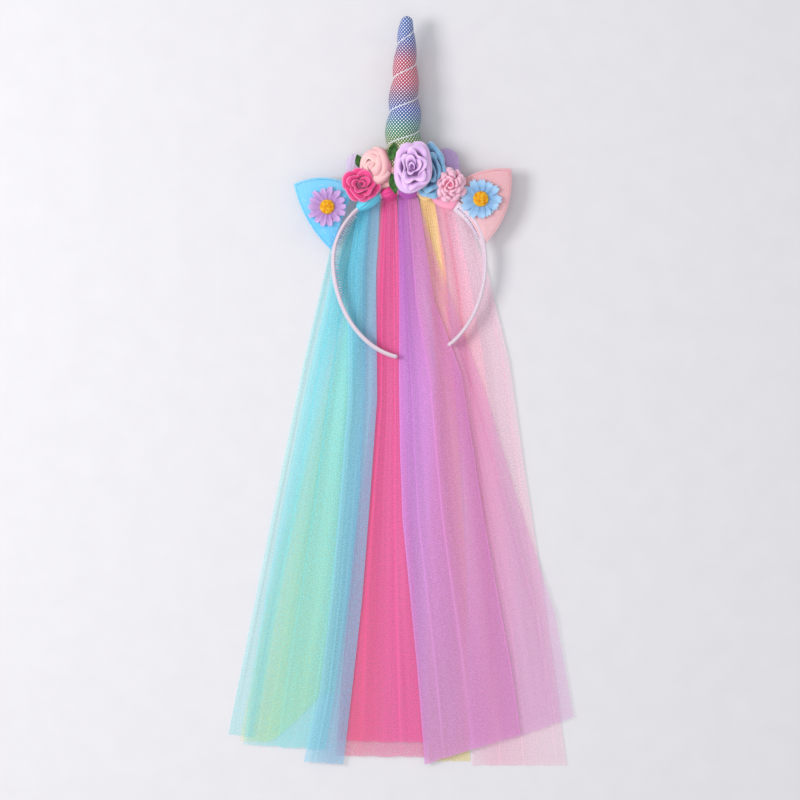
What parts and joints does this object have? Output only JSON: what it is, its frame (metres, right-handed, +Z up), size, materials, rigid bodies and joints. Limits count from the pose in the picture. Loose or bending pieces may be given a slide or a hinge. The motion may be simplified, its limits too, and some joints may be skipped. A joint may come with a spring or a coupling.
{
  "type": "unicorn horn headband",
  "caption": "Headband with a stuffed spiral horn, felt ears, fabric flowers and a long veil of coloured net strips, laid flat on its back.",
  "frame": {"origin": "middle of the outline seen from above, on the surface that the headband lies on", "axes": "+Y from the veil's hems to the horn's tip, +Z up from the surface, +X across the hoop"},
  "size_m": [0.3116, 0.6748, 0.045],
  "materials": {
    "satin_pink": "satin-wrapped, soft sheen",
    "horn_rainbow_mesh": "stuffed fabric with a rainbow gradient under a silver dotted net",
    "silver_cord": "thin white and silver cord",
    "felt_sky_blue": "felt with fine glitter, stitched edge",
    "felt_dusty_pink": "felt with fine glitter, stitched edge",
    "petal_lilac": "pressed satin petals",
    "petal_sky_blue": "pressed satin petals",
    "heart_yellow": "flocked, grainy",
    "rose_lilac": "soft curled petals",
    "rose_pale_pink": "soft curled petals",
    "rose_blue": "soft curled petals",
    "rose_hot_pink": "soft curled petals",
    "carnation_pink": "many small petals",
    "leaf_green": "matt fabric leaf",
    "tulle_blue": "fine see-through net",
    "tulle_pale_blue": "fine see-through net",
    "tulle_yellow": "fine see-through net",
    "tulle_hot_pink": "fine see-through net",
    "tulle_purple": "fine see-through net",
    "tulle_pale_lilac": "fine see-through net",
    "tulle_pink": "fine see-through net"
  },
  "bodies": {
    "root": {"band": "satin_pink", "horn": "horn_rainbow_mesh", "horn_cord": "silver_cord", "ear_left": "felt_sky_blue", "ear_right": "felt_dusty_pink", "daisy_lilac_petals": "petal_lilac", "daisy_lilac_heart": "heart_yellow", "daisy_blue_petals": "petal_sky_blue", "daisy_blue_heart": "heart_yellow", "rose_lilac": "rose_lilac", "rose_pale_pink": "rose_pale_pink", "rose_blue": "rose_blue", "rose_hot_pink": "rose_hot_pink", "carnation_pink": "carnation_pink", "leaf_left": "leaf_green", "leaf_middle": "leaf_green", "leaf_low": "leaf_green", "puff_lilac": "tulle_pale_lilac", "puff_purple": "tulle_purple", "tulle_blue_front": "tulle_blue", "tulle_blue_middle": "tulle_blue", "tulle_blue_pale": "tulle_pale_blue", "tulle_yellow_left": "tulle_yellow", "tulle_hot_pink": "tulle_hot_pink", "tulle_purple": "tulle_purple", "tulle_lilac": "tulle_pale_lilac", "tulle_yellow": "tulle_yellow", "tulle_pink": "tulle_pink"}
  },
  "joints": []
}
